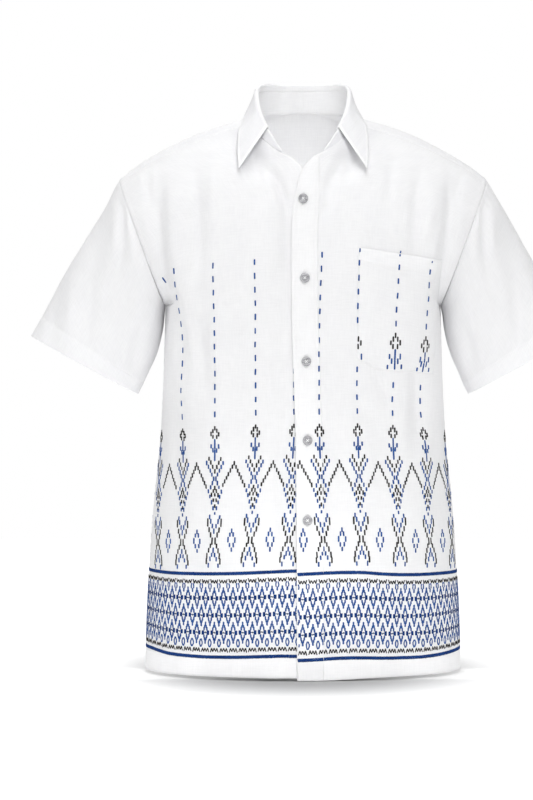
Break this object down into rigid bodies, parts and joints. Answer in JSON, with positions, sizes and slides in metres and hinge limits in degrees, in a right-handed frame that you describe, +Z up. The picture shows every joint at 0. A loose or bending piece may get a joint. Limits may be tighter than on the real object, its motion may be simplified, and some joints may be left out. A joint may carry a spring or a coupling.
{
  "type": "embroidered shirt",
  "caption": "Short-sleeved button-front shirt with a turned-down collar, chest pocket and an embroidered border round the hem, filled out as worn and hollow.",
  "frame": {"origin": "the middle of the neck opening at the height of the shoulder seams beside the collar, where a wearer's neck and shoulders hold the shirt up", "axes": "+Z up along the body towards the collar, -Y the way the buttoned front faces, +X towards the wearer's left"},
  "size_m": [0.7406, 0.2504, 0.8021],
  "materials": {
    "cloth": "white slub linen-cotton, matt",
    "collar_cloth": "white interlined linen-cotton, matt, edge-stitched",
    "button": "grey pearl, raised rim"
  },
  "bodies": {
    "root": {"front_left": "cloth", "front_right": "cloth", "back": "cloth", "sleeve_left": "cloth", "sleeve_right": "cloth", "collar_stand": "collar_cloth", "collar_leaf": "collar_cloth", "front_band": "collar_cloth", "pocket": "cloth", "button_1": "button", "button_2": "button", "button_3": "button", "button_4": "button", "button_5": "button"}
  },
  "joints": []
}
